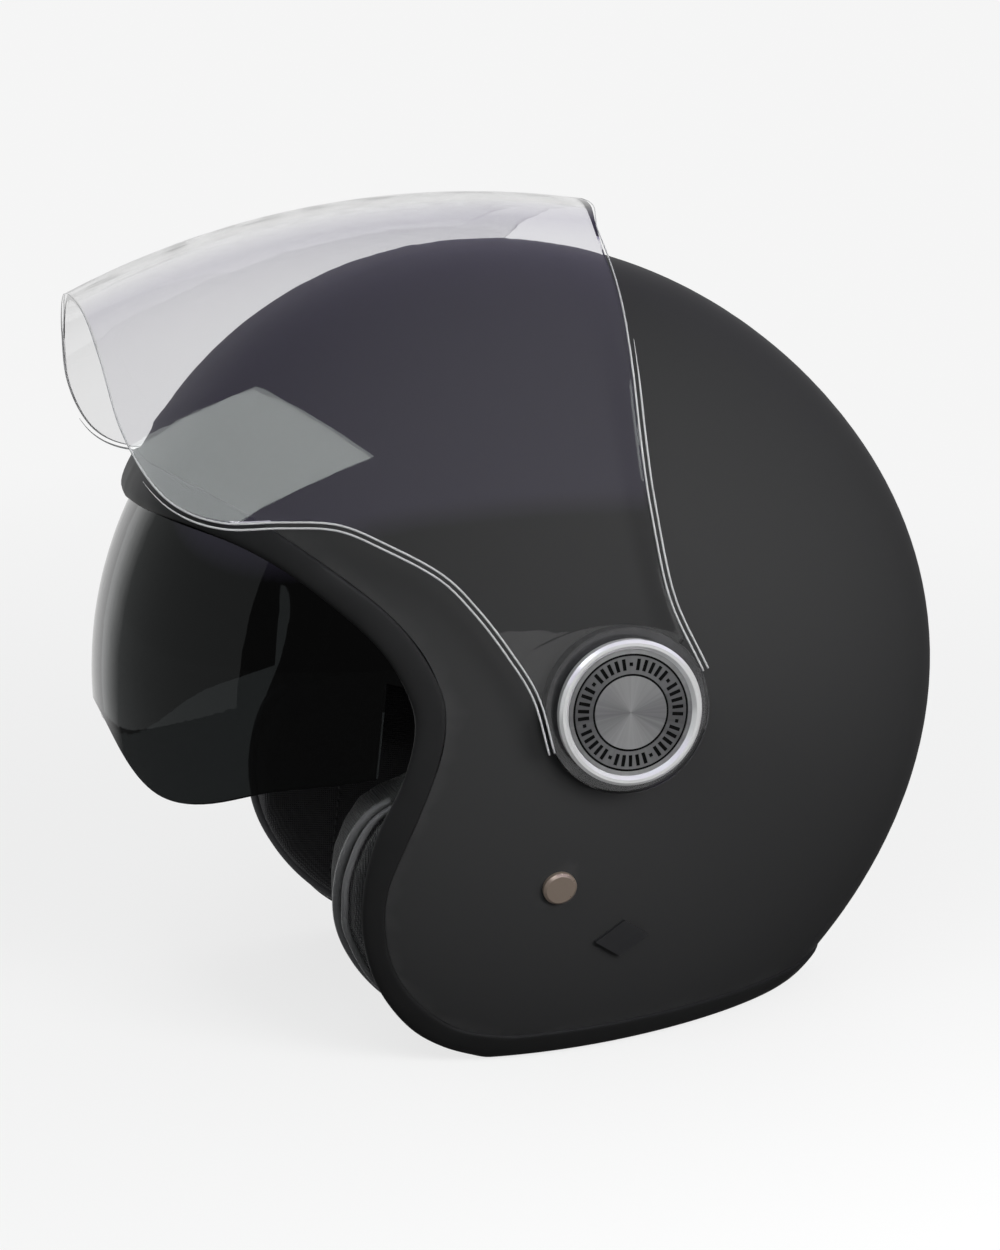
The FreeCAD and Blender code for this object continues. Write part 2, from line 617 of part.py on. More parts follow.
def make_buckle_lever():
    """Release lever that turns on the pin, over the tongue's teeth."""
    flap = across_strap(BUCKLE_PIN_X, BUCKLE_PIN_Z + 0.9, LEVER_LENGTH, LEVER_WIDTH, 1.8)
    lever = pin_across(LEVER_BARREL_RADIUS, LEVER_WIDTH).fuse(flap)
    return lever.cut(pin_across(BUCKLE_PIN_RADIUS + 0.15, 60)).removeSplitter()


def make_buckle_tongue():
    """Toothed tongue, stitched to the left-hand strap and pushed into the buckle."""
    tongue = across_strap(BUCKLE_X + 10, STRAP_LOW + 0.6, TONGUE_LENGTH, TONGUE_WIDTH, 1.8)
    top = STRAP_LOW + 2.4
    for i in range(TOOTH_COUNT):
        x = BUCKLE_X + BUCKLE_LENGTH + 0.5 - TOOTH_PITCH * i
        ramp = [Vector(x, 0, top), Vector(x - 2.4, 0, top), Vector(x, 0, top + TOOTH_HEIGHT)]
        tooth = Part.Face(Part.makePolygon(ramp + ramp[:1]))
        tooth.translate(Vector(0, STRAP_Y - TONGUE_WIDTH / 2 + 1, 0))
        tongue = tongue.fuse(tooth.extrude(Vector(0, TONGUE_WIDTH - 2, 0)))
    slot = across_strap(-4.0, STRAP_LOW - 0.1, 20, STRAP_WIDTH + 2, STRAP_THICKNESS + 0.2)
    return largest(tongue.cut(slot).removeSplitter())


def make_rivet(side):
    """Domed strap rivet, square to the shell."""
    centre, normal = rivet_axis(side)
    seat = centre + normal * 0.05
    head = Part.makeCylinder(RIVET_HEAD_RADIUS, RIVET_HEAD_HEIGHT, seat, normal)
    crown = Part.makeCone(RIVET_HEAD_RADIUS, RIVET_HEAD_RADIUS - 0.9, 0.8, seat + normal * RIVET_HEAD_HEIGHT,
                          normal)
    shank = Part.makeCylinder(RIVET_SHANK_RADIUS, 8.9, centre - normal * 8.8, normal)
    return head.fuse(crown).fuse(shank).removeSplitter()


def make_washer(side):
    """Washer under the end of the rivet, inside the strap."""
    centre, normal = rivet_axis(side)
    washer = Part.makeCylinder(WASHER_RADIUS, 1.1, centre - normal * 8.2, normal)
    return washer.cut(Part.makeCylinder(RIVET_SHANK_RADIUS + 0.05, 10, centre - normal * 12, normal))


def make_badge(solids, side):
    """Plain raised lozenge on the shell, below the pivot."""
    corners = []
    for along, up in ((1, 0), (0, 1), (-1, 0), (0, -1), (1, 0)):
        corners.append(Vector(0, BADGE_Y + BADGE_HALF_LENGTH * along, BADGE_Z + BADGE_HALF_HEIGHT * up))
    lozenge = extrude_x(Part.makePolygon(corners), 60 if side > 0 else -FAR, FAR if side > 0 else -60)
    return largest(solids["badge"].cut(solids["outer"]).common(lozenge))


# ---- assembly ---------------------------------------------------------------
def shifted(edge, forward):
    """A side outline moved forwards, or backwards where forward is negative."""
    return [(y - forward, z) for y, z in edge]


def front_of_pad():
    """Everything in front of the cheek pads' side outline."""
    top, bottom = PAD_EDGE[-1], PAD_EDGE[0]
    corners = [(0, *top), (0, -60, 20), (0, -FAR, 20), (0, -FAR, -FAR), (0, -30, -FAR), (0, *bottom)]
    closing = Part.makePolygon([Vector(*corner) for corner in corners])
    return extrude_x(Part.Wire([edge_curve(PAD_EDGE)] + closing.Edges))


def build():
    depths = {
        "outer": 0, "proud": -TRIM_PROUD, "badge": -BADGE_PROUD, "shell_inside": SHELL_THICKNESS,
        "foam_outside": SHELL_THICKNESS + EPS_GAP, "crown_inside": EPS_DEPTH,
        "cheek_inside": CHEEK_DEPTH, "liner_outside": EPS_DEPTH + FIT_GAP,
        "liner_inside": EPS_DEPTH + LINER_THICKNESS, "brow_outside": 12.0,
    }
    solids = {name: form(depth) for name, depth in depths.items()}
    foam_edge = shifted(SHELL_EDGE, -1.0)
    openings = {
        "shell": front_of(SHELL_EDGE),
        "trim": front_of(TRIM_EDGE),
        "foam": front_of(foam_edge),
        "foam_front": front_of(shifted(foam_edge, FIT_GAP)),
        "brow": front_of(shifted(TRIM_EDGE, -3.0)),
        "lining": front_of(shifted(TRIM_EDGE, -2.0)),
        "liner": front_of(shifted(SHELL_EDGE, -2.5)),
        "pad": front_of_pad(),
    }
    behind_lens = LENS_THICKNESS + LENS_CLEARANCE
    lens_inside = lemon(LENS_HALF_WIDTH - behind_lens, LENS_RADIUS - behind_lens, 1.0)
    room = lens_room(lens_inside)
    solids["neck"] = neck_room(NECK_HALF_WIDTH, NECK_REAR)
    solids["strap_channel"] = strap_channel()
    foam_half = CHEEK_FOAM_HALF_WIDTH
    solids["cheek_core"] = form(CHEEK_EPS_DEPTH).fuse(neck_room(foam_half, NECK_REAR))
    pad_core = form(CHEEK_EPS_DEPTH + FIT_GAP).fuse(neck_room(foam_half - FIT_GAP, NECK_REAR))
    solids["cheek_foam_room"] = solids["outer"].cut(pad_core).cut(openings["foam_front"])

    nodes = {
        "outer_shell": make_shell(solids, openings),
        "edge_trim": make_trim(solids, openings),
        "foam_crown": make_crown_foam(solids, openings, room),
        "comfort_liner": make_liner(solids, openings),
        "brow_pad": make_brow_pad(solids, openings, room),
        "neck_roll": make_neck_roll(solids),
        "face_shield": make_shield(),
        "sun_lens": make_lens(),
        "strap_left": make_strap(1, STRAP_LEFT_END_X),
        "strap_right": make_strap(-1, STRAP_RIGHT_END_X),
        "strap_sleeve": make_strap_sleeve(),
        "buckle_body": make_buckle_body(),
        "buckle_pin": make_buckle_pin(),
        "buckle_lever": make_buckle_lever(),
        "buckle_tongue": make_buckle_tongue(),
    }
    for name, side in (("left", 1), ("right", -1)):
        nodes["foam_cheek_" + name] = make_cheek_foam(solids, openings, side)
        nodes["cheek_pad_" + name] = make_cheek_pad(solids, openings, side)
        nodes["rim_lining_" + name] = make_rim_lining(solids, openings, side)
        nodes["pivot_base_" + name] = make_pivot_base(side)
        nodes["pivot_screw_" + name] = make_pivot_screw(side)
        nodes["pivot_nut_" + name] = make_pivot_nut(side)
        nodes["cap_ring_" + name] = make_cap_ring(side)
        nodes["cap_disc_" + name] = make_cap_disc(side)
        nodes["lens_plate_" + name] = make_lens_plate(side)
        nodes["lens_pin_" + name] = make_lens_pin(side)
        nodes["strap_rivet_" + name] = make_rivet(side)
        nodes["rivet_washer_" + name] = make_washer(side)
        nodes["side_badge_" + name] = make_badge(solids, side)
    return nodes


def main():
    os.makedirs("parts", exist_ok=True)
    for name, shape in build().items():
        shape.translate(Vector(0, PIVOT_Y, PIVOT_Z))
        state = ["valid", shape.isValid(), "solids", len(shape.Solids)]
        print(name, *state, "ml", round(shape.Volume / 1000, 1))
        shape.exportStep("parts/" + name + ".step")


main()
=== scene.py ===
"""Open face motorcycle helmet: soft parts, edge trim, materials, light and camera round the CAD frame.

Units are metres, in the frame of the CAD model: +Z up, the front towards -Y, the wearer's left
towards +X. Shapes are worked out about the shield's pivot axis, like the CAD model's.
"""
import bmesh
import bpy
import json
import math
from mathutils import Matrix, Vector
from mathutils.bvhtree import BVHTree
from mathutils.kdtree import KDTree


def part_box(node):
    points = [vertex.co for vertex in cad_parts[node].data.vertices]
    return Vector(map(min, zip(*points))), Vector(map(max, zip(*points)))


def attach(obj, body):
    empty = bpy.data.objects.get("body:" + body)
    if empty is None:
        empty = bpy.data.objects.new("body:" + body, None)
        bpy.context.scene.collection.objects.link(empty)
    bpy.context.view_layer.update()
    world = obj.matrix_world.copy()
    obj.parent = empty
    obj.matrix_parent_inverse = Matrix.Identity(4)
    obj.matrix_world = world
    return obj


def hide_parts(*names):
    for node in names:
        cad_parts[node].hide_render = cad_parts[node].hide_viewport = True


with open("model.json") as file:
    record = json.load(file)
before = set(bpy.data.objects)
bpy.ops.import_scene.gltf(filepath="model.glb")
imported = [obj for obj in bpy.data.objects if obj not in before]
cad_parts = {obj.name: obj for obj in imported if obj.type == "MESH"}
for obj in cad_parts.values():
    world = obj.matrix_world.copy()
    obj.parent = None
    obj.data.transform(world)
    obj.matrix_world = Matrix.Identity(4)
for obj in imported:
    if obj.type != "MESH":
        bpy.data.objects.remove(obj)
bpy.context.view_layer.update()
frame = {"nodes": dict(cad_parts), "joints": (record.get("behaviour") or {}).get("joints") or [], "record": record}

NODES = frame["nodes"]
JOINTS = {joint["name"]: joint for joint in frame["joints"]}
PIVOT = Vector(JOINTS["shield_hinge"]["pos_m"])
MM = 0.001
SIDES = (("left", 1), ("right", -1))

# ---- the helmet's form, in millimetres from the pivot axis -------------------
HALF_WIDTH = 123.0
SHELL_EDGE = [
    (-29, -120), (-47, -115.5), (-60, -106), (-70, -93), (-75, -77), (-75, -61), (-69, -43),
    (-61.5, -23), (-57.5, -4), (-60, 10), (-72, 29), (-90, 44.5), (-112, 59.5), (-134, 70),
    (-152, 74.5), (-180, 77),
]
TRIM_EDGE = [
    (-37, -130), (-52, -124), (-65, -114.5), (-76.5, -98), (-82.5, -79), (-83, -60), (-79, -41),
    (-71.5, -24), (-67.5, -7), (-69.5, 5), (-78, 20), (-92, 33.5), (-108, 45.5), (-125, 53.5),
    (-143, 57.5), (-180, 60),
]
WAIST = 8                    # index of both outlines' rearmost point beside the face
SHIELD_HALF_WIDTH = 131.5
SHIELD_ARC = (-20.0, -152.0, 315.0)
SHIELD_SQUARENESS = 2.3
SHIELD_CHIN_EDGE = [
    (-170, 139), (-162.8, 128.7), (-159.5, 112), (-156, 92), (-149, 76.5), (-140, 67.5),
    (-127, 63.2), (-109, 63.4), (-92, 62.4), (-77, 56), (-60, 46.3), (-49, 35), (-39, 21.5),
    (-30, 6.5), (-24.6, -12.3),
]
SHIELD_REAR_EDGE = [
    (24, 172), (18, 160.7), (12.5, 155), (9.8, 149), (9, 130), (7.8, 108), (7.2, 86), (8.6, 64),
    (13.6, 36), (24.8, 11.9),
]
STRAP_Y = -19.0
STRAP_DEPTH = 5.8
STRAP_HEIGHTS = (-52, -61.3, -75, -90, -105, -116, -122)
WEBBING_SECTION = [          # across the strap and through it
    (-11.0, -0.5), (-10.6, -0.85), (-9.6, -0.8), (0, -0.7), (9.6, -0.8), (10.6, -0.85), (11.0, -0.5),
    (11.0, 0.5), (10.6, 0.85), (9.6, 0.8), (0, 0.7), (-9.6, 0.8), (-10.6, 0.85), (-11.0, 0.5),
]


def crown_radius(angle):
    """Radius of the centre profile; the angle runs from the front over the crown, in degrees."""
    a = math.radians(angle)
    first = 6.8 * math.cos(a) - 16.8 * math.sin(a)
    second = -3.8 * math.cos(2 * a) + 1.4 * math.sin(2 * a)
    return 158.8 + first + second - 1.5 * math.cos(3 * a)


def squareness(angle):
    nape = max(0.0, math.cos(math.radians(angle - 235)))
    return 2.4 - 0.75 * nape ** 2


def fullness(y, z, inset=0.0):
    """How far out a point of the side view lies: 0 on the pivot axis, 1 on the centre profile."""
    angle = math.degrees(math.atan2(z, -y)) % 360
    return math.hypot(y, z) / (crown_radius(angle) - inset), squareness(angle)


def form_x(y, z, inset=0.0):
    """Half width of the form at a point of the side view."""
    ratio, power = fullness(y, z, inset)
    return (HALF_WIDTH - inset) * max(0.0, 1 - ratio ** power) ** (1 / power)


def form_normal(point):
    """Outward unit normal of the form at a point on or near it."""
    def level(p):
        ratio, power = fullness(p[1], p[2])
        return (abs(p[0]) / HALF_WIDTH) ** power + ratio ** power
    step = 0.2
    slopes = []
    for axis in range(3):
        ahead, behind = list(point), list(point)
        ahead[axis] += step
        behind[axis] -= step
        slopes.append(level(ahead) - level(behind))
    return Vector(slopes).normalized()


def placed(point):
    """A point in millimetres from the pivot axis, as a point of the frame in metres."""
    return Vector(point) * MM + PIVOT


# ---- mesh helpers -----------------------------------------------------------
def link(name, mesh, body, material, smooth=True):
    obj = bpy.data.objects.new(name, mesh)
    bpy.context.scene.collection.objects.link(obj)
    mesh.materials.clear()
    mesh.materials.append(material)
    if smooth:
        mesh.shade_smooth()
    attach(obj, body)
    return obj


def mesh_from(name, points, faces):
    mesh = bpy.data.meshes.new(name)
    mesh.from_pydata([tuple(p) for p in points], [], faces)
    mesh.update()
    return mesh


def grid_faces(rows, columns, close_rows=False, close_columns=False):
    """Quads between the points of a grid stored row by row."""
    faces = []
    for i in range(rows if close_rows else rows - 1):
        for j in range(columns if close_columns else columns - 1):
            a, b = i * columns + j, i * columns + (j + 1) % columns
            c, d = ((i + 1) % rows) * columns + (j + 1) % columns, ((i + 1) % rows) * columns + j
            faces.append((a, b, c, d))
    return faces


def outward(mesh):
    """Turns every face outwards."""
    work = bmesh.new()
    work.from_mesh(mesh)
    bmesh.ops.recalc_face_normals(work, faces=work.faces)
    work.to_mesh(mesh)
    work.free()


def subdivided(obj, levels=1):
    modifier = obj.modifiers.new("round", "SUBSURF")
    modifier.levels = levels
    modifier.render_levels = levels
    return obj


def settled(obj):
    """Replaces an object's mesh with the result of its modifiers."""
    graph = bpy.context.evaluated_depsgraph_get()
    mesh = bpy.data.meshes.new_from_object(obj.evaluated_get(graph))
    obj.modifiers.clear()
    obj.data = mesh
    return obj


def catmull_rom(points, per_span):
    """A smooth curve through the points, per_span steps to each span."""
    ends = [2 * points[0] - points[1]] + list(points) + [2 * points[-1] - points[-2]]
    curve = []
    for i in range(1, len(ends) - 2):
        p0, p1, p2, p3 = ends[i - 1:i + 3]
        for k in range(per_span):
            t = k / per_span
            bend = (2 * p0 - 5 * p1 + 4 * p2 - p3) * t * t + (3 * p1 - p0 - 3 * p2 + p3) * t ** 3
            curve.append(0.5 * (2 * p1 + (p2 - p0) * t + bend))
    curve.append(points[-1].copy())
    return curve


def resampled(points, count):
    """count points evenly spaced along a polyline."""
    lengths = [0.0]
    for a, b in zip(points, points[1:]):
        lengths.append(lengths[-1] + (b - a).length)
    result, i = [], 0
    for k in range(count):
        target = lengths[-1] * k / (count - 1)
        while i < len(points) - 2 and lengths[i + 1] < target:
            i += 1
        span = lengths[i + 1] - lengths[i]
        result.append(points[i].lerp(points[i + 1], (target - lengths[i]) / span if span else 0.0))
    return result


def tube(name, points, radius, body, material, closed=False, sides=10):
    """A round tube along points, as a closed mesh; radius is one number or one for each point."""
    ring_points, previous = [], None
    count = len(points)
    radii = radius if isinstance(radius, list) else [radius] * count
    for i, point in enumerate(points):
        before = points[i - 1] if closed or i else point
        after = points[(i + 1) % count] if closed or i < count - 1 else point
        along = (after - before).normalized()
        across = previous - along * previous.dot(along) if previous else along.orthogonal()
        across.normalize()
        previous = across
        other = along.cross(across)
        for k in range(sides):
            a = 2 * math.pi * k / sides
            ring_points.append(point + (across * math.cos(a) + other * math.sin(a)) * radii[i])
    faces = grid_faces(count, sides, close_rows=closed, close_columns=True)
    if not closed:
        faces.append(tuple(range(sides))[::-1])
        faces.append(tuple(range((count - 1) * sides, count * sides)))
    mesh = mesh_from(name, ring_points, faces)
    outward(mesh)
    return link(name, mesh, body, material)


# ---- material helpers -------------------------------------------------------
class Shader:
    """A node tree under construction round one Principled shader."""

    def __init__(self, name, colour, roughness):
        self.material = bpy.data.materials.new(name)
        self.material.use_nodes = True
        self.tree = self.material.node_tree
        self.shader = self.tree.nodes["Principled BSDF"]
        self.put("Base Color", (*colour, 1.0))
        self.put("Roughness", roughness)
        self.coordinates = self.tree.nodes.new("ShaderNodeTexCoord").outputs["Object"]
        self.height = None

    def put(self, socket, value):
        self.shader.inputs[socket].default_value = value
        return self

    def node(self, kind, **settings):
        node = self.tree.nodes.new(kind)
        for key, value in settings.items():
            setattr(node, key, value)
        return node

    def join(self, source, target):
        self.tree.links.new(source, target)

    def noise(self, scale, detail=4.0, stretch=None):
        node = self.node("ShaderNodeTexNoise")
        node.inputs["Scale"].default_value = scale
        node.inputs["Detail"].default_value = detail
        self.join(self.stretched(stretch), node.inputs["Vector"])
        return node.outputs["Fac"]

    def stretched(self, stretch):
        if stretch is None:
            return self.coordinates
        mapping = self.node("ShaderNodeMapping")
        mapping.inputs["Scale"].default_value = stretch
        self.join(self.coordinates, mapping.inputs["Vector"])
        return mapping.outputs["Vector"]

    def cells(self, scale, feature="F1"):
        node = self.node("ShaderNodeTexVoronoi", feature=feature)
        node.inputs["Scale"].default_value = scale
        self.join(self.coordinates, node.inputs["Vector"])
        return node.outputs["Distance"]

    def bands(self, direction, scale, distortion=0.0):
        node = self.node("ShaderNodeTexWave", bands_direction=direction)
        node.inputs["Scale"].default_value = scale
        node.inputs["Distortion"].default_value = distortion
        self.join(self.coordinates, node.inputs["Vector"])
        return node.outputs["Fac"]

    def maths(self, operation, a, b):
        node = self.node("ShaderNodeMath", operation=operation)
        for socket, value in zip(node.inputs, (a, b)):
            if isinstance(value, (int, float)):
                socket.default_value = value
            else:
                self.join(value, socket)
        return node.outputs[0]

    def spread(self, source, low, high, start=0.0, end=1.0):
        """source, from start to end, moved to the range low to high."""
        node = self.node("ShaderNodeMapRange")
        node.inputs["From Min"].default_value = start
        node.inputs["From Max"].default_value = end
        node.inputs["To Min"].default_value = low
        node.inputs["To Max"].default_value = high
        self.join(source, node.inputs["Value"])
        return node.outputs["Result"]

    def mixed(self, factor, first, second):
        node = self.node("ShaderNodeMix", data_type="RGBA")
        self.join(factor, node.inputs["Factor"])
        node.inputs["A"].default_value = (*first, 1.0)
        node.inputs["B"].default_value = (*second, 1.0)
        return node.outputs["Result"]

    def colour(self, factor, first, second):
        self.join(self.mixed(factor, first, second), self.shader.inputs["Base Color"])
        return self

    def rough(self, factor, low, high):
        self.join(self.spread(factor, low, high, 0.3, 0.7), self.shader.inputs["Roughness"])
        return self

    def bump(self, source, distance, strength=1.0):
        node = self.node("ShaderNodeBump")
        node.inputs["Distance"].default_value = distance
        node.inputs["Strength"].default_value = strength
        self.join(source, node.inputs["Height"])
        if self.height is not None:
            self.join(self.height, node.inputs["Normal"])
        self.height = node.outputs["Normal"]
        self.join(self.height, self.shader.inputs["Normal"])
        return self

    def worn(self, plain, wear, start=0.53, end=0.62):
        """Colour that turns to wear where edges stand out."""
        sharp = self.node("ShaderNodeNewGeometry").outputs["Pointiness"]
        scuffs = self.maths("MULTIPLY", self.spread(sharp, 0.0, 1.0, start, end), self.noise(90.0))
        return self.colour(scuffs, plain, wear)


def lacquer_material():
    """Matte black lacquer with a faint orange peel."""
    black, scuffed = (0.031, 0.031, 0.0315), (0.055, 0.055, 0.056)
    m = Shader("shell_lacquer", black, 0.5)
    m.put("Specular IOR Level", 0.03)
    m.worn(black, scuffed)
    m.rough(m.noise(14.0, 6.0), 0.44, 0.52)
    m.bump(m.noise(500.0, 2.0), 0.00002, 0.2).bump(m.noise(1800.0, 2.0), 0.000008, 0.2)
    return m.material


def rubber_material():
    m = Shader("edge_rubber", (0.0125, 0.0125, 0.0128), 0.5)
    m.put("Specular IOR Level", 0.25)
    m.colour(m.noise(60.0), (0.01, 0.01, 0.0102), (0.0155, 0.0155, 0.0158))
    m.rough(m.noise(25.0, 5.0), 0.44, 0.58)
    m.bump(m.cells(900.0), 0.00003, 0.3)
    return m.material


def knit_material(name, colour, stitch=2600.0):
    """Brushed knit: a fine lattice of stitches with a soft sheen."""
    m = Shader(name, colour, 0.9)
    m.put("Sheen Weight", 0.25).put("Sheen Roughness", 0.5)
    per_metre, wobble = stitch / 6.283, 0.4
    lattice = m.maths("ADD", m.bands("X", per_metre, wobble), m.bands("Z", per_metre, wobble))
    lattice = m.maths("ADD", lattice, m.bands("Y", per_metre, wobble))
    m.colour(m.noise(35.0, 6.0), tuple(0.8 * c for c in colour), tuple(1.25 * c for c in colour))
    m.rough(m.noise(40.0), 0.82, 0.95)
    m.bump(lattice, 0.00022, 0.8).bump(m.noise(700.0, 3.0), 0.0001, 0.5)
    return m.material


def leatherette_material(name="leatherette", roughness=(0.38, 0.55), colour=(0.015, 0.015, 0.0155)):
    m = Shader(name, colour, 0.45)
    m.colour(m.noise(30.0, 5.0), tuple(0.75 * c for c in colour), tuple(1.3 * c for c in colour))
    m.rough(m.noise(55.0), *roughness)
    grain = m.cells(750.0, "DISTANCE_TO_EDGE")
    m.bump(m.spread(grain, 0.0, 1.0, 0.0, 0.25), 0.00012, 0.7)
    return m.material


def webbing_material():
    """Woven strap: ribs across the width and fine yarns along it."""
    m = Shader("webbing", (0.012, 0.012, 0.013), 0.75)
    m.put("Sheen Weight", 0.15)
    m.colour(m.noise(300.0, 3.0), (0.009, 0.009, 0.01), (0.018, 0.018, 0.019))
    m.rough(m.noise(120.0), 0.65, 0.85)
    m.bump(m.maths("ADD", m.bands("Y", 210.0), m.bands("DIAGONAL", 330.0)), 0.0003, 0.8)
    return m.material


def foam_material():
    """Moulded beads, packed together."""
    m = Shader("eps_foam", (0.03, 0.03, 0.031), 0.85)
    beads = m.cells(260.0)
    m.colour(m.spread(beads, 0.0, 1.0, 0.0, 0.7), (0.036, 0.036, 0.038), (0.018, 0.018, 0.019))
    m.rough(m.noise(80.0), 0.78, 0.92)
    m.bump(m.maths("SUBTRACT", 1.0, beads), 0.0006, 0.7)
    return m.material


def moulded_material(name, colour, roughness=(0.38, 0.52)):
    m = Shader(name, colour, 0.45)
    m.worn(colour, tuple(3.0 * c for c in colour))
    m.rough(m.noise(70.0, 5.0), *roughness)
    m.bump(m.noise(1400.0, 2.0), 0.00003, 0.6)
    return m.material


def metal_material(name, colour, roughness, brushed=None, wear=1.15, metallic=1.0):
    m = Shader(name, colour, sum(roughness) / 2)
    m.put("Metallic", metallic)
    m.worn(colour, tuple(min(1.0, wear * c) for c in colour))
    m.rough(m.noise(260.0, 4.0, brushed), *roughness)
    m.bump(m.noise(900.0, 3.0, brushed), 0.00002, 0.5)
    return m.material


def from_pivot(m):
    """Where a point lies from the pivot axis, in metres, as a socket."""
    centred = m.node("ShaderNodeVectorMath", operation="SUBTRACT")
    m.join(m.coordinates, centred.inputs[0])
    centred.inputs[1].default_value = tuple(PIVOT)
    return centred.outputs[0]


def spun_radius(m):
    """Distance from the pivot axis, in metres, as a socket."""
    flat = m.node("ShaderNodeVectorMath", operation="MULTIPLY")
    m.join(from_pivot(m), flat.inputs[0])
    flat.inputs[1].default_value = (0.0, 1.0, 1.0)
    length = m.node("ShaderNodeVectorMath", operation="LENGTH")
    m.join(flat.outputs[0], length.inputs[0])
    return length.outputs["Value"]


def painted_highlight_fans(m):
    """Painted conical highlights of the turned face, 0 to 1: pale above and below the middle, dark in front of and
    behind it, with fine streaks.
    """
    split = m.node("ShaderNodeSeparateXYZ")
    m.join(from_pivot(m), split.inputs[0])
    angle = m.maths("ARCTAN2", split.outputs["Y"], split.outputs["Z"])
    highlight_fans = m.spread(m.maths("COSINE", m.maths("MULTIPLY", angle, 2.0), 0.0), 0.0, 0.8, -1.0, 1.0)
    streaks = m.node("ShaderNodeTexNoise", noise_dimensions="1D")
    streaks.inputs["Scale"].default_value = 7.0
    m.join(angle, streaks.inputs["W"])
    return m.maths("ADD", highlight_fans, m.spread(streaks.outputs["Fac"], -0.15, 0.25))


def cap_face_material():
    """Spun metal disc: fine turning lines, a darker band for the marks, paint in the engraving, and painted
    conical highlights above and below the middle.
    """
    m = Shader("cap_face", (0.5, 0.5, 0.5), 0.3)
    m.put("Metallic", 0.8).put("Anisotropic", 0.7)
    tangent = m.node("ShaderNodeTangent", direction_type="RADIAL", axis="X")
    m.join(tangent.outputs[0], m.shader.inputs["Tangent"])
    radius = spun_radius(m)
    lines = m.maths("SINE", m.maths("MULTIPLY", radius, 16000.0), 0.0)
    m.rough(m.noise(120.0), 0.3, 0.4)
    m.bump(lines, 0.000006, 0.3)
    band = m.maths("MULTIPLY", m.maths("GREATER_THAN", radius, 0.0126), m.maths("LESS_THAN", radius, 0.0188))
    split = m.node("ShaderNodeSeparateXYZ")
    m.join(m.coordinates, split.inputs[0])
    face = CAP_FACE_X - 0.00012
    deep = m.maths("LESS_THAN", m.maths("ABSOLUTE", split.outputs["X"], 0.0), face)
    tones = m.node("ShaderNodeMix", data_type="RGBA")
    m.join(m.maths("MULTIPLY", deep, m.maths("LESS_THAN", radius, 0.0199)), tones.inputs["Factor"])
    # The marks' band times the painted highlight: pale conical highlights painted above and below the middle.
    marks_band_and_painted_highlight = m.node("ShaderNodeMix", data_type="RGBA", blend_type="MULTIPLY")
    marks_band_and_painted_highlight.inputs["Factor"].default_value = 1.0
    m.join(m.mixed(band, (0.74, 0.74, 0.75), (0.42, 0.42, 0.43)), marks_band_and_painted_highlight.inputs["A"])
    m.join(m.mixed(painted_highlight_fans(m), (0.42, 0.42, 0.42), (1.0, 1.0, 1.0)), marks_band_and_painted_highlight.inputs["B"])
    m.join(marks_band_and_painted_highlight.outputs["Result"], tones.inputs["A"])
    tones.inputs["B"].default_value = (0.012, 0.012, 0.012, 1.0)
    m.join(tones.outputs["Result"], m.shader.inputs["Base Color"])
    return m.material


def clear_material():
    """Clear hard-coated sheet with the faintest grey tint and a few wipe marks."""
    m = Shader("clear_shield", (0.9, 0.9, 0.903), 0.0)
    m.put("Transmission Weight", 1.0).put("IOR", 1.5)
    m.join(m.spread(m.noise(9.0, 5.0), 0.0, 0.035, 0.45, 0.75), m.shader.inputs["Roughness"])
    m.bump(m.noise(18.0, 2.0), 0.00004, 0.25)
    return m.material


def smoked_material():
    m = Shader("smoked_lens", (0.012, 0.0135, 0.0138), 0.02)
    m.put("Transmission Weight", 1.0).put("IOR", 1.5)
    m.join(m.spread(m.noise(12.0, 5.0), 0.01, 0.06, 0.4, 0.75), m.shader.inputs["Roughness"])
    m.bump(m.noise(15.0, 2.0), 0.00004, 0.2)
    return m.material


CAP_FACE_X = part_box("cap_disc_left")[1].x

MATERIALS = {
    "shell_lacquer": lacquer_material(),
    "edge_rubber": rubber_material(),
    "eps_foam": foam_material(),
    "liner_fabric": knit_material("liner_fabric", (0.055, 0.055, 0.056)),
    "cheek_fabric": knit_material("cheek_fabric", (0.028, 0.028, 0.029)),
    "leatherette": leatherette_material(),
    "webbing": webbing_material(),
    "buckle_plastic": moulded_material("buckle_plastic", (0.016, 0.016, 0.017)),
    "buckle_steel": metal_material("buckle_steel", (0.42, 0.42, 0.43), (0.25, 0.38), (1, 14, 1)),
    "clear_shield": clear_material(),
    "smoked_lens": smoked_material(),
    "hinge_plastic": moulded_material("hinge_plastic", (0.015, 0.015, 0.016)),
    "cap_bezel": metal_material("cap_bezel", (0.93, 0.93, 0.94), (0.14, 0.22), metallic=0.55),
    "cap_face": cap_face_material(),
    "rivet_nickel": metal_material("rivet_nickel", (0.5, 0.4, 0.33), (0.26, 0.4), metallic=0.75),
    "fittings_steel": metal_material("fittings_steel", (0.5, 0.5, 0.51), (0.25, 0.4)),
    "badge_metal": metal_material("badge_metal", (0.024, 0.024, 0.0255), (0.46, 0.56), metallic=0.1),
}
# Piping colour made light grey to paint the piping's bright highlight; the piping itself is dark glossy
# leatherette.
PIPING_PAINTED_HIGHLIGHT = leatherette_material("piping", (0.22, 0.32), (0.13, 0.13, 0.134))
THREAD = knit_material("thread", (0.02, 0.02, 0.021), 9000.0)


def dress_cad_nodes():
    """Every CAD node that shows takes its slot's material."""
    slots = {entry["node"]: entry["material_slot"] for entry in frame["record"]["subparts"]}
    for name, obj in NODES.items():
        for entry in obj.material_slots:
            entry.material = MATERIALS[slots[name]]
    NODES["face_shield"].visible_shadow = False
    NODES["face_shield"].visible_diffuse = False


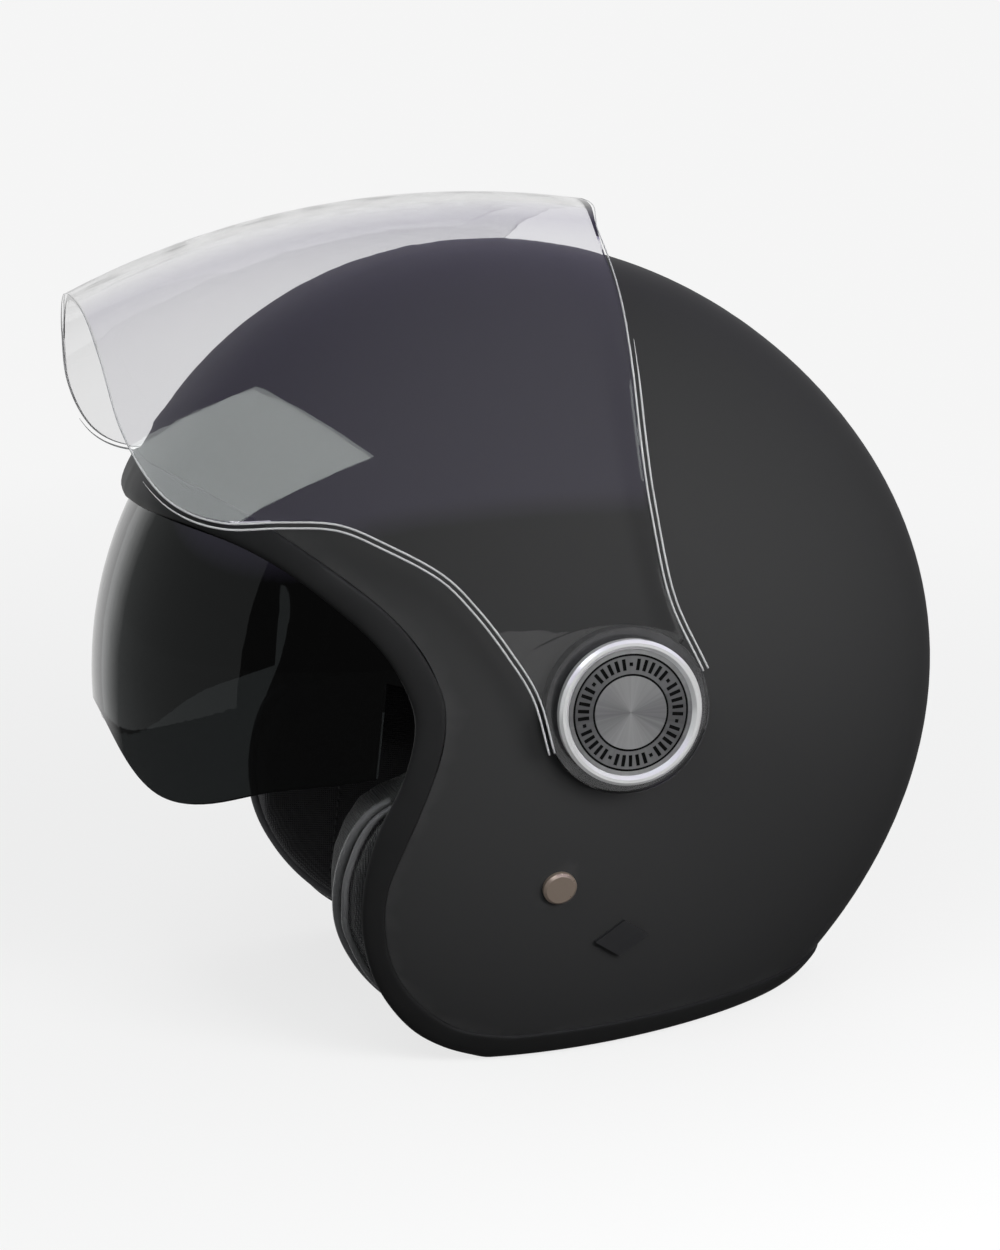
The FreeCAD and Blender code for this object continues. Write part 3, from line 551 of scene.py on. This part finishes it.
# ---- edge trim --------------------------------------------------------------
# Section from the groove against the shell (0) to the trim's outer edge (1), in millimetres outwards.
TRIM_SECTION = [
    (0.0, -0.8), (0.004, 0.75), (0.05, 1.2), (0.28, 1.4), (0.6, 1.4), (0.84, 0.9), (0.96, -0.1),
    (1.0, -1.5), (0.97, -3.2), (0.86, -4.4), (0.5, -4.7), (0.2, -4.7), (0.04, -4.1), (0.0, -2.6),
]
BROW_SWELL = 0.3             # extra height of the trim over the brow, as a share


def half_loop(edge):
    """An outline laid on the left half of the form, from the nape along the base up to the brow."""
    front_y, base_z = edge[0]
    low, high = 0.0, 200.0
    while high - low > 0.01:
        middle = (low + high) / 2
        low, high = (middle, high) if fullness(middle, base_z)[0] < 1 else (low, middle)
    steps = 60
    base = []
    for i in range(steps):
        y = low - (low - front_y) * (i / steps) ** 2
        base.append(Vector((form_x(y, base_z) if i else 0.0, y, base_z)))
    rising = []
    for p in catmull_rom([Vector((0, y, z)) for y, z in edge], 40):
        if fullness(p.y, p.z)[0] >= 1:
            break
        rising.append(Vector((form_x(p.y, p.z), p.y, p.z)))
    rising.append(Vector((0, p.y, p.z)))
    waist = WAIST * 40
    runs = ((base + rising[:1], 56), (rising[:waist + 1], 52), (rising[waist:], 66))
    low_run, cheek_run, brow_run = (resampled(points, count) for points, count in runs)
    return low_run[:-1] + cheek_run[:-1] + brow_run


def full_loop(edge):
    left = half_loop(edge)
    right = [Vector((-p.x, p.y, p.z)) for p in left[-2:0:-1]]
    return left + right


def make_trim():
    """Rubber edging, a closed loop round the base and the face opening."""
    grooves, outers = full_loop(SHELL_EDGE), full_loop(TRIM_EDGE)
    points = []
    for groove, outer in zip(grooves, outers):
        normal = form_normal((groove + outer) / 2)
        brow = max(0.0, min(1.0, (outer.z - 25) / 30))
        for along, height in TRIM_SECTION:
            lift = height * (1 + BROW_SWELL * brow) if height > 0 else height
            point = groove.lerp(outer, along) + normal * lift
            points.append(placed(point))
    mesh = mesh_from("edge_trim_moulding", points, grid_faces(len(grooves), len(TRIM_SECTION), True, True))
    outward(mesh)
    trim = link("edge_trim_moulding", mesh, "helmet", MATERIALS["edge_rubber"])
    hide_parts("edge_trim")
    return subdivided(trim)


# ---- face shield's edge highlights, painted as pale beads -------------------
def shield_x(y, z):
    """Half width of the shield at a point of the side view, or None beyond it."""
    arc_y, arc_z, arc_radius = SHIELD_ARC
    reach = math.hypot(y, z)
    along = (arc_y * y + arc_z * z) / reach
    radius = along + math.sqrt(along ** 2 - arc_y ** 2 - arc_z ** 2 + arc_radius ** 2)
    ratio = reach / radius
    if ratio >= 1:
        return None
    return SHIELD_HALF_WIDTH * (1 - ratio ** SHIELD_SQUARENESS) ** (1 / SHIELD_SQUARENESS)


def shield_side(edge, inset):
    """The left half of one of the shield's edges, moved inwards by inset, from the pivot to the middle."""
    curve = catmull_rom([Vector((0, y, z)) for y, z in edge], 12)
    points = []
    for i, p in enumerate(curve):
        along = curve[min(i + 1, len(curve) - 1)] - curve[max(i - 1, 0)]
        inward = Vector((0, -along.z, along.y)).normalized()
        q = p + inward * inset
        x = shield_x(q.y, q.z)
        if x is not None and q.yz.length > 27:
            points.append(Vector((x + 0.1, q.y, q.z)))
    return points if points[0].x > points[-1].x else points[::-1]


BEAD_RADIUS = 0.36           # mm, on the shield's sides
BEAD_FULL_AT = 95.0          # mm from the middle, where a bead reaches that radius
SECOND_BEAD_FROM = 98.0      # mm from the middle, where each edge's second bead begins
SECOND_BEAD_RUN_IN = 14.0    # mm over which it grows to its full radius
BEADED_EDGES = (             # the insets of the first and the second bead, in mm
    ("chin", SHIELD_CHIN_EDGE, -0.3, -2.1),
    ("rear", SHIELD_REAR_EDGE, 0.4, 2.2),
)


def make_shield_edges():
    """A fine pale bead round each long edge of the shield, doubled low on the sides: painted highlights of the
    sheet's cut edges.
    """
    # Pale, half-clear beads that paint the bright lines of the sheet's cut edges.
    bead = Shader("shield_edge_highlight", (0.62, 0.62, 0.63), 0.12)
    bead.put("Transmission Weight", 0.35).put("IOR", 1.5)
    bead.rough(bead.noise(60.0), 0.1, 0.2)
    for label, edge, outer, inner in BEADED_EDGES:
        left = shield_side(edge, outer)
        path = resampled(left + [Vector((-p.x, p.y, p.z)) for p in left[::-1]], 260)
        radii = [BEAD_RADIUS * (0.3 + 0.7 * min(1.0, abs(p.x) / BEAD_FULL_AT) ** 2) for p in path]
        shield_bead(f"shield_{label}_bead", path, radii, bead.material)
        lower = resampled([p for p in shield_side(edge, inner) if p.x > SECOND_BEAD_FROM], 90)
        radii = [BEAD_RADIUS * min(1.0, 0.2 + (p.x - SECOND_BEAD_FROM) / SECOND_BEAD_RUN_IN) for p in lower]
        for side, name in ((1, "left"), (-1, "right")):
            path = [Vector((side * p.x, p.y, p.z)) for p in lower]
            shield_bead(f"shield_{label}_bead_{name}", path, radii, bead.material)


def shield_bead(name, path, radii, material):
    """One bead along points, in millimetres."""
    path = [placed(p) for p in path]
    tube(name, path, [r * MM for r in radii], "shield", material, sides=8)


# ---- cushions ---------------------------------------------------------------
def cushion(node, name, material, voxel=0.004, pressure=3.0, cap=0.004):
    """A padded piece: the CAD solid drawn in a little, then swollen as cloth under pressure."""
    mesh = NODES[node].data.copy()
    mesh.name = name
    obj = link(name, mesh, "helmet", material)
    remesh = obj.modifiers.new("remesh", "REMESH")
    remesh.mode = "VOXEL"
    remesh.voxel_size = voxel
    settled(obj)
    smooth = obj.modifiers.new("smooth", "SMOOTH")
    smooth.factor = 0.5
    smooth.iterations = 4
    shrink = obj.modifiers.new("shrink", "DISPLACE")
    shrink.mid_level = 0.0
    shrink.strength = -0.6 * MM
    settled(obj)
    swell(obj, pressure, cap)
    obj.data.materials.clear()
    obj.data.materials.append(material)
    obj.data.shade_smooth()
    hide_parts(node)
    return obj


SWELL_FRAMES = 16


def swell(obj, pressure, cap):
    """Cloth under inner pressure for a few frames, with each point's travel capped."""
    rest = [v.co.copy() for v in obj.data.vertices]
    cloth = obj.modifiers.new("cloth", "CLOTH")
    cloth.settings.quality = 4
    cloth.settings.mass = 0.3
    cloth.settings.use_pressure = True
    cloth.settings.uniform_pressure_force = pressure
    cloth.settings.effector_weights.gravity = 0.0
    cloth.point_cache.frame_start = 1
    cloth.point_cache.frame_end = SWELL_FRAMES
    scene = bpy.context.scene
    for number in range(1, SWELL_FRAMES + 1):
        scene.frame_set(number)
    settled(obj)
    scene.frame_set(1)
    for vertex, start in zip(obj.data.vertices, rest):
        move = vertex.co - start
        if move.length > cap:
            vertex.co = start + move * (cap / move.length)
    obj.data.update()


def surface_of(obj):
    graph = bpy.context.evaluated_depsgraph_get()
    return BVHTree.FromObject(obj, graph)


def press_seam(obj, path, width, depth):
    """Draws a sewn channel into a cushion along a path of points."""
    tree = KDTree(len(path))
    for i, point in enumerate(path):
        tree.insert(point, i)
    tree.balance()
    normals = [v.normal.copy() for v in obj.data.vertices]
    for vertex, normal in zip(obj.data.vertices, normals):
        distance = tree.find(vertex.co)[2]
        if distance < 3 * width:
            vertex.co -= normal * depth * math.exp(-(distance / width) ** 2)
    obj.data.update()


def cheek_front(surface, side, inset, low=-117.0, high=-29.5, lift=0.0):
    """Points on the front of a cheek pad, a set depth in from the shell."""
    points = []
    count = 60
    for i in range(count):
        z = low + (high - low) * i / (count - 1)
        y = trim_y(z)
        x = side * form_x(y, z, inset)
        start = placed((x, y - 60, z))
        location, normal = surface.ray_cast(start, Vector((0, 1, 0)), 0.12)[:2]
        if location is not None:
            points.append(location + normal * lift)
    return points


def trim_y(z):
    """The trim's front edge beside the cheek, at a height."""
    for (y0, z0), (y1, z1) in zip(TRIM_EDGE, TRIM_EDGE[1:]):
        if z0 <= z <= z1:
            return y0 + (y1 - y0) * (z - z0) / (z1 - z0)
    return TRIM_EDGE[0][0]


def make_cheek_pads():
    for name, side in SIDES:
        pad = cushion("cheek_pad_" + name, f"cheek_cushion_{name}", MATERIALS["cheek_fabric"])
        settled(subdivided(pad))
        pad.data.shade_smooth()
        surface = surface_of(pad)
        outer = cheek_front(surface, side, 8.5, lift=0.0004)
        inner = cheek_front(surface, side, 15.0, lift=0.0006)
        press_seam(pad, [p.copy() for p in outer + inner], 0.0028, 0.0022)
        for label, path, radius in (("outer", outer, 0.0013), ("inner", inner, 0.0019)):
            line = resampled(catmull_rom(resampled(path, 14), 8), 70)
            # The piping's light grey colour paints its highlight.
            piping = tube(f"cheek_piping_{label}_{name}", line, radius, "helmet", PIPING_PAINTED_HIGHLIGHT)
            subdivided(piping)
        make_pad_stitches(name, surface, side)


def make_pad_stitches(name, surface, side):
    """A row of stitches down the inner face of the pad."""
    points = []
    for i in range(40):
        z = -104 + 68 * i / 39
        start = placed((0, -58 + 0.1 * (z + 70), z))
        location = surface.ray_cast(start, Vector((side, 0, 0)), 0.12)[0]
        if location is not None:
            points.append(location)
    stitch_row(f"cheek_stitching_{name}", points, Vector((-side, 0, 0)))


def stitch_row(name, points, normal, length=0.0026, gap=0.0014, radius=0.00035):
    """Separate thread stitches along a line of points, as one piece."""
    total = sum((b - a).length for a, b in zip(points, points[1:]))
    step = 0.0004
    on = int(length / step)
    fine = resampled(points, max(2, int(total / step)))
    work = bmesh.new()
    period = on + int(gap / step)
    for start in range(0, len(fine) - on, period):
        run = fine[start:start + on + 1]
        rings = []
        for i, point in enumerate(run):
            t = i / on
            along = (run[min(i + 1, on)] - run[max(i - 1, 0)]).normalized()
            across = along.cross(normal).normalized()
            centre = point + normal * radius * (0.2 + 0.9 * math.sin(math.pi * t))
            ring = []
            for k in range(6):
                a = math.pi * k / 3
                ring.append(work.verts.new(centre + (across * math.cos(a) + normal * math.sin(a)) * radius))
            rings.append(ring)
        for low, high in zip(rings, rings[1:]):
            for k in range(6):
                work.faces.new((low[k], low[(k + 1) % 6], high[(k + 1) % 6], high[k]))
        work.faces.new(rings[0][::-1])
        work.faces.new(rings[-1])
    mesh = bpy.data.meshes.new(name)
    work.to_mesh(mesh)
    work.free()
    outward(mesh)
    return link(name, mesh, "helmet", THREAD)


CROWN_SEAMS = (-46, -16, 16, 46)     # mm to the side of the middle
CROWN_SEAM_POINTS = 80


def make_liner():
    """Quilted comfort liner over the crown and down to the nape."""
    liner = cushion("comfort_liner", "crown_cushion", MATERIALS["liner_fabric"], voxel=0.0052)
    settled(subdivided(liner))
    liner.data.shade_smooth()
    surface = surface_of(liner)
    for x in CROWN_SEAMS:
        path = []
        for i in range(CROWN_SEAM_POINTS):
            a = math.radians(40 + 150 * i / (CROWN_SEAM_POINTS - 1))
            start = placed((x, 0, 0))
            location = surface.ray_cast(start, Vector((0, -math.cos(a), math.sin(a))), 0.2)[0]
            if location is not None:
                path.append(location)
        press_seam(liner, path, 0.0035, 0.003)


def make_brow_and_neck():
    brow = cushion("brow_pad", "brow_cushion", MATERIALS["liner_fabric"], voxel=0.004)
    subdivided(brow)
    roll = cushion("neck_roll", "neck_cushion", MATERIALS["leatherette"], voxel=0.004)
    subdivided(roll)
    for name, side in SIDES:
        lining = cushion(f"rim_lining_{name}", f"rim_cover_{name}", MATERIALS["leatherette"],
                         voxel=0.0012, cap=0.0006)
        subdivided(lining)


# ---- chin strap -------------------------------------------------------------
def strap_line(side, end_x):
    """Centre line of a strap, from above the rivet to under the chin, in millimetres."""
    level = (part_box("strap_left")[0].z - PIVOT.z) / MM + 0.9
    line = [Vector((side * form_x(STRAP_Y, z, STRAP_DEPTH), 0, z)) for z in STRAP_HEIGHTS]
    x = abs(line[-1].x)
    line.append(Vector((side * (x - 3.2), 0, level + 2.4)))
    line.append(Vector((side * (x - 8), 0, level)))
    line += [Vector((side * (x - 20), 0, level)), Vector((end_x, 0, level))]
    return line


def make_strap(name, side, end_x):
    """Woven webbing with a thickened edge on both sides."""
    line = resampled(catmull_rom(strap_line(side, end_x), 12), 110)
    around = len(WEBBING_SECTION)
    points = []
    for i, point in enumerate(line):
        along = (line[min(i + 1, len(line) - 1)] - line[max(i - 1, 0)]).normalized()
        out = Vector((0, 1, 0)).cross(along)
        for across, up in WEBBING_SECTION:
            points.append(placed(point + Vector((0, STRAP_Y + across, 0)) + out * up))
    faces = grid_faces(len(line), around, close_columns=True)
    faces.append(tuple(range(around))[::-1])
    faces.append(tuple(range((len(line) - 1) * around, len(line) * around)))
    mesh = mesh_from(name, points, faces)
    outward(mesh)
    strap = link(name, mesh, "helmet", MATERIALS["webbing"])
    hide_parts("strap_" + ("left" if side > 0 else "right"))


def make_straps():
    make_strap("webbing_left", 1, 2.0)
    make_strap("webbing_right", -1, -56.0)
    sleeve = cushion("strap_sleeve", "chin_sleeve", MATERIALS["leatherette"],
                     voxel=0.0014, cap=0.0008)
    subdivided(sleeve)
    low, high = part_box("strap_sleeve")
    inset, top, steps = 0.003, high.z - 0.0004, 30
    run = high.x - low.x - 2 * inset
    for label, y in (("front", low.y + inset), ("rear", high.y - inset)):
        row = [Vector((low.x + inset + run * i / steps, y, top)) for i in range(steps + 1)]
        stitch_row(f"sleeve_stitching_{label}", row, Vector((0, 0, 1)))


# ---- floor, light and camera ------------------------------------------------
CAMERA_BACK = Vector((0.9527, -0.2453, 0.1795))
CAMERA_FROM_PIVOT = Vector((0.9496, -0.25366, 0.18446))
LENS_MM = 78.16
FLOOR_HALF = 12.0
FLOOR_DROP = -0.0002
PALE = (0.915, 0.915, 0.915)
AMBIENT = (0.18, 0.18, 0.185)
SKY_STOPS = ((0.33, (0.06, 0.06, 0.06)), (0.42, (0.3, 0.27, 0.42)))
FAR_SIDE = (-0.72, -0.9, 0.9)    # from and to this far towards -X the world turns pale, and how much


def floor_material():
    """Pale floor that fades into the backdrop away from the helmet."""
    m = Shader("pale_floor", (0.2, 0.2, 0.2), 1.0)
    m.put("Specular IOR Level", 0.0).put("Emission Color", (1, 1, 1, 1)).put("Emission Strength", 0.76)
    distance = m.node("ShaderNodeVectorMath", operation="LENGTH")
    m.join(m.coordinates, distance.inputs[0])
    far = m.node("ShaderNodeEmission")
    far.inputs["Color"].default_value = (*PALE, 1)
    blend = m.node("ShaderNodeMixShader")
    m.join(m.spread(distance.outputs["Value"], 0.0, 1.0, 0.35, 1.6), blend.inputs["Fac"])
    m.join(m.shader.outputs[0], blend.inputs[1])
    m.join(far.outputs[0], blend.inputs[2])
    one_sided = m.node("ShaderNodeMixShader")
    m.join(m.node("ShaderNodeNewGeometry").outputs["Backfacing"], one_sided.inputs["Fac"])
    m.join(blend.outputs[0], one_sided.inputs[1])
    m.join(m.node("ShaderNodeBsdfTransparent").outputs[0], one_sided.inputs[2])
    m.join(one_sided.outputs[0], m.tree.nodes["Material Output"].inputs["Surface"])
    return m.material


def make_floor():
    corners = [(x * FLOOR_HALF, y * FLOOR_HALF, FLOOR_DROP) for x, y in ((-1, -1), (1, -1), (1, 1), (-1, 1))]
    mesh = mesh_from("floor", corners, [(0, 1, 2, 3)])
    mesh.materials.append(floor_material())
    floor = bpy.data.objects.new("floor", mesh)
    bpy.context.scene.collection.objects.link(floor)
    floor.visible_glossy = False
    floor.visible_diffuse = False


def make_world():
    """Pale backdrop for the eye; for the light a dim cool sky, a dark studio and a pale far side."""
    world = bpy.data.worlds.new("studio")
    bpy.context.scene.world = world
    world.use_nodes = True
    tree = world.node_tree

    def node(kind, operation=None, data_type=None):
        made = tree.nodes.new(kind)
        if operation:
            made.operation = operation
        if data_type:
            made.data_type = data_type
        return made

    join = tree.links.new
    path = node("ShaderNodeLightPath")
    bounces = node("ShaderNodeMath", "ADD")
    join(path.outputs["Diffuse Depth"], bounces.inputs[0])
    join(path.outputs["Glossy Depth"], bounces.inputs[1])
    seen = node("ShaderNodeMath", "LESS_THAN")
    seen.inputs[1].default_value = 0.5
    join(bounces.outputs[0], seen.inputs[0])
    split = node("ShaderNodeSeparateXYZ")
    join(node("ShaderNodeTexCoord").outputs["Generated"], split.inputs[0])
    ramp = node("ShaderNodeValToRGB")
    for stop, (height, colour) in zip(ramp.color_ramp.elements, SKY_STOPS):
        stop.position = height
        stop.color = (*colour, 1)
    join(split.outputs["Z"], ramp.inputs["Fac"])
    sheen = node("ShaderNodeMix", data_type="RGBA")
    join(path.outputs["Is Diffuse Ray"], sheen.inputs["Factor"])
    join(ramp.outputs["Color"], sheen.inputs["A"])
    sheen.inputs["B"].default_value = (*AMBIENT, 1)
    behind = node("ShaderNodeMapRange")
    for socket, value in zip(("From Min", "From Max", "To Max"), FAR_SIDE):
        behind.inputs[socket].default_value = value
    join(split.outputs["X"], behind.inputs["Value"])
    pale = node("ShaderNodeMath", "MAXIMUM")
    join(seen.outputs[0], pale.inputs[0])
    join(behind.outputs["Result"], pale.inputs[1])
    mix = node("ShaderNodeMix", data_type="RGBA")
    join(pale.outputs[0], mix.inputs["Factor"])
    join(sheen.outputs["Result"], mix.inputs["A"])
    mix.inputs["B"].default_value = (*PALE, 1)
    join(mix.outputs["Result"], tree.nodes["Background"].inputs["Color"])


# Name, direction from the helmet, distance, size, power, colour, long axis, and whether it is reflected.
LIGHTS = (
    ("key", (0.628, -0.4, 0.655), 1.6, (0.86, 0.66), 5.2, (0.93, 1.0, 0.95), (0.8, 0.36, -0.48), True),
    ("side", (0.89, 0.29, 0.345), 0.75, (0.4, 0.3), 4.9, (1, 1, 1), (0, 1, 0), False),
    ("low", (0.85, -0.2, -0.02), 2.2, (1.6, 0.8), 1.0, (1, 1, 1), (0, 1, 0), False),
    ("rear", (-0.75, 0.62, 0.35), 2.0, (1.6, 1.0), 11.0, (1, 1, 1), (0, 1, 0), False),
    ("front", (-0.35, -0.9, 0.16), 2.2, (4.6, 2.0), 6.6, (0.95, 1.0, 1.0), (1, 0, 0), True),
)


def add_light(name, direction, distance, size, power, colour, long_axis, reflected):
    """A rectangular soft box that faces the helmet, seen from it in a given direction."""
    back = Vector(direction).normalized()
    side = Vector(long_axis)
    side = (side - back * side.dot(back)).normalized()
    light = bpy.data.lights.new(name, "AREA")
    light.shape = "RECTANGLE"
    light.size, light.size_y = size
    light.energy = power
    light.color = colour
    obj = bpy.data.objects.new(name, light)
    obj.matrix_world = Matrix.Translation(PIVOT + back * distance) @ Matrix(
        (side, back.cross(side), back)).transposed().to_4x4()
    bpy.context.scene.collection.objects.link(obj)
    obj.visible_camera = False
    obj.visible_glossy = reflected
    obj.visible_transmission = reflected


def make_camera():
    data = bpy.data.cameras.new("camera")
    data.sensor_fit = "VERTICAL"
    data.sensor_height = 36.0
    data.lens = LENS_MM
    data.clip_end = 60.0
    camera = bpy.data.objects.new("camera", data)
    camera.location = PIVOT + CAMERA_FROM_PIVOT
    camera.rotation_euler = CAMERA_BACK.to_track_quat("Z", "Y").to_euler()
    bpy.context.scene.collection.objects.link(camera)
    bpy.context.scene.camera = camera


def main():
    bpy.context.scene.view_settings.view_transform = "Standard"
    make_camera()
    make_world()
    for light in LIGHTS:
        add_light(*light)
    make_floor()
    dress_cad_nodes()
    make_trim()
    make_shield_edges()
    make_cheek_pads()
    make_liner()
    make_brow_and_neck()
    make_straps()


main()
